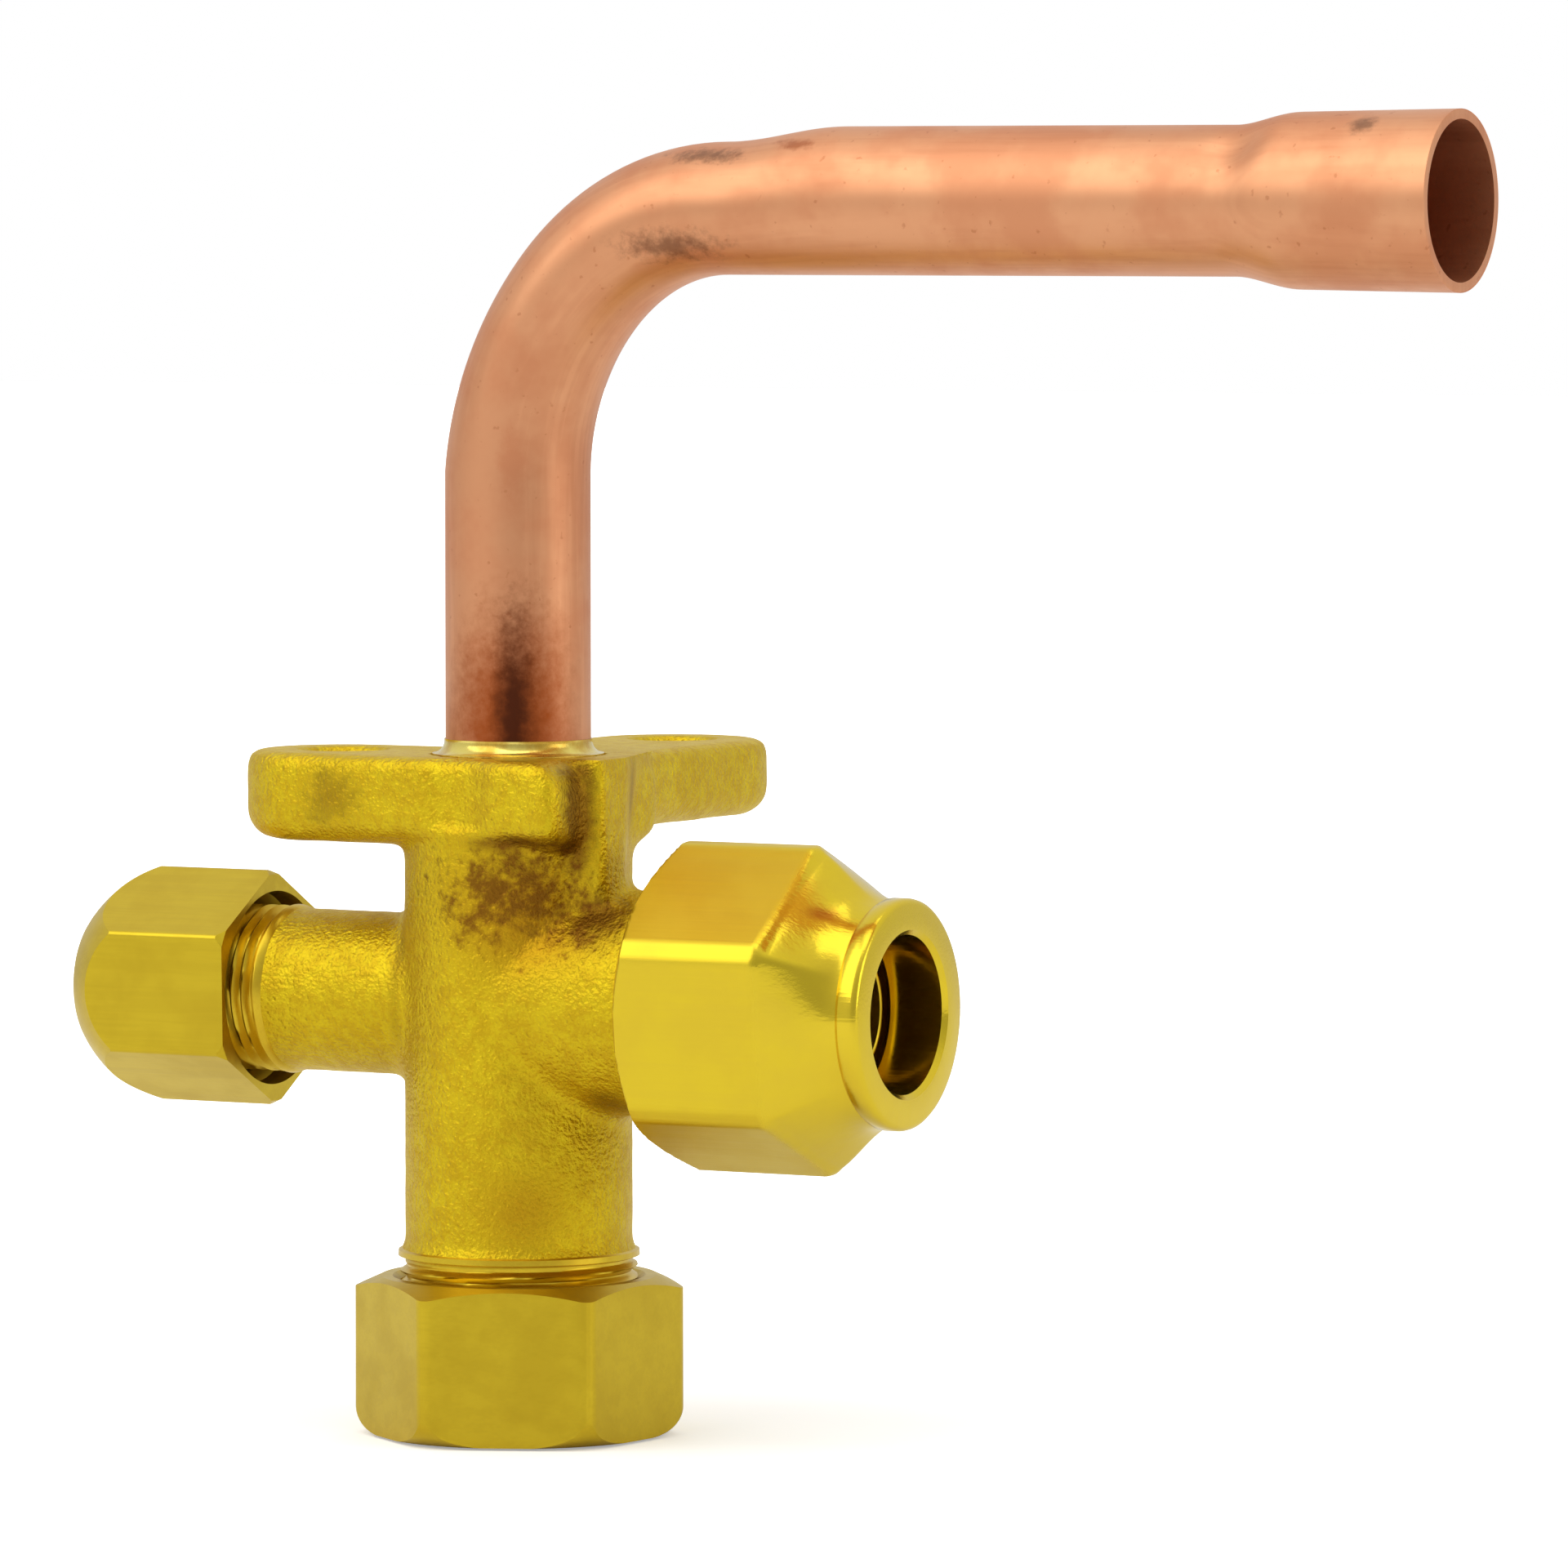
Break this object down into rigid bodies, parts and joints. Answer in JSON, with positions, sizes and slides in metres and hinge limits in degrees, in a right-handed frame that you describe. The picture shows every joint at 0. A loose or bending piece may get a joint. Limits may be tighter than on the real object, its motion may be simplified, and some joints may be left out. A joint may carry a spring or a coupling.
{
  "type": "refrigerant service valve",
  "caption": "Brass service valve with a two-ear flange, a bent copper pipe with a belled end, a flare port with its nut, a capped service port and a capped shut-off stem.",
  "frame": {"origin": "centre of the pipe socket in the flange's mounting face", "axes": "+Z along the valve's long axis from the stem cap towards the copper pipe, +X along the flare port and the pipe's run, -X along the service port, +Y towards the second flange ear"},
  "size_m": [0.124, 0.0481, 0.1088],
  "materials": {
    "forged_brass": "forged and blasted yellow brass, with brown heat stains around the flange and the flare port",
    "nut_brass": "forged yellow brass with fine drawn lines on the flats",
    "cap_brass": "drawn and turned yellow brass, satin",
    "machined_brass": "turned brass, bright",
    "copper": "annealed copper, satin, with brown heat tint above the flange and dark scuffs on the bend",
    "soft_copper": "soft copper washer",
    "brazing_alloy": "bright brazed fillet",
    "black_rubber": "black oil-resistant rubber",
    "white_ptfe": "white fluoropolymer",
    "spring_steel": "oiled spring steel"
  },
  "bodies": {
    "valve": {"valve_body": "forged_brass", "connection_pipe": "copper", "pipe_run": "copper", "braze_fillet": "brazing_alloy", "retaining_ring": "spring_steel", "core_plug": "machined_brass", "core_barrel": "machined_brass", "core_gasket": "white_ptfe", "core_spring": "spring_steel"},
    "stem_carrier": {"stem_o_ring_inner": "black_rubber", "stem_o_ring_outer": "black_rubber", "stem_backup_ring": "white_ptfe"},
    "shutoff_stem": {"stem": "machined_brass"},
    "stem_cap_carrier": {"stem_cap_gasket": "soft_copper"},
    "lower_cap": {"stem_cap": "cap_brass"},
    "service_cap_carrier": {"service_cap_seal": "black_rubber"},
    "side_cap": {"service_cap": "cap_brass"},
    "union_nut": {"flare_nut": "nut_brass"},
    "core_plunger": {"core_pin": "spring_steel", "core_cup": "machined_brass", "core_seat_seal": "black_rubber"}
  },
  "joints": [
    {"name": "stem_travel", "type": "slide", "parent": "valve", "child": "stem_carrier", "axis": [0, 0, -1], "range_m": [0, 0.0048]},
    {"name": "stem_turn", "type": "hinge", "parent": "stem_carrier", "child": "shutoff_stem", "pos_m": [0, 0, -0.03], "axis": [0, 0, -1], "range_deg": [0, 1728]},
    {"name": "stem_cap_travel", "type": "slide", "parent": "valve", "child": "stem_cap_carrier", "axis": [0, 0, -1], "range_m": [0, 0.0085]},
    {"name": "stem_cap_turn", "type": "hinge", "parent": "stem_cap_carrier", "child": "lower_cap", "pos_m": [0, 0, -0.05], "axis": [0, 0, -1], "range_deg": [0, 3060]},
    {"name": "service_cap_travel", "type": "slide", "parent": "valve", "child": "service_cap_carrier", "axis": [-1, 0, 0], "range_m": [0, 0.0105]},
    {"name": "service_cap_turn", "type": "hinge", "parent": "service_cap_carrier", "child": "side_cap", "pos_m": [-0.03, 0, -0.0202], "axis": [-1, 0, 0], "range_deg": [0, 3780]},
    {"name": "flare_nut_travel", "type": "slide", "parent": "valve", "child": "union_nut", "axis": [1, 0, 0], "range_m": [0, 0.016]},
    {"name": "core_pin_press", "type": "slide", "parent": "valve", "child": "core_plunger", "axis": [1, 0, 0], "range_m": [0, 0.0016], "stiffness_N_per_m": 400, "springref_m": -0.0008, "deforming": ["core_spring"]}
  ],
  "couplings": [
    {"joint": "stem_turn", "follows": "stem_travel", "rad_per_m": 6283.1},
    {"joint": "stem_cap_turn", "follows": "stem_cap_travel", "rad_per_m": 6283.1},
    {"joint": "service_cap_turn", "follows": "service_cap_travel", "rad_per_m": 6283.1}
  ]
}
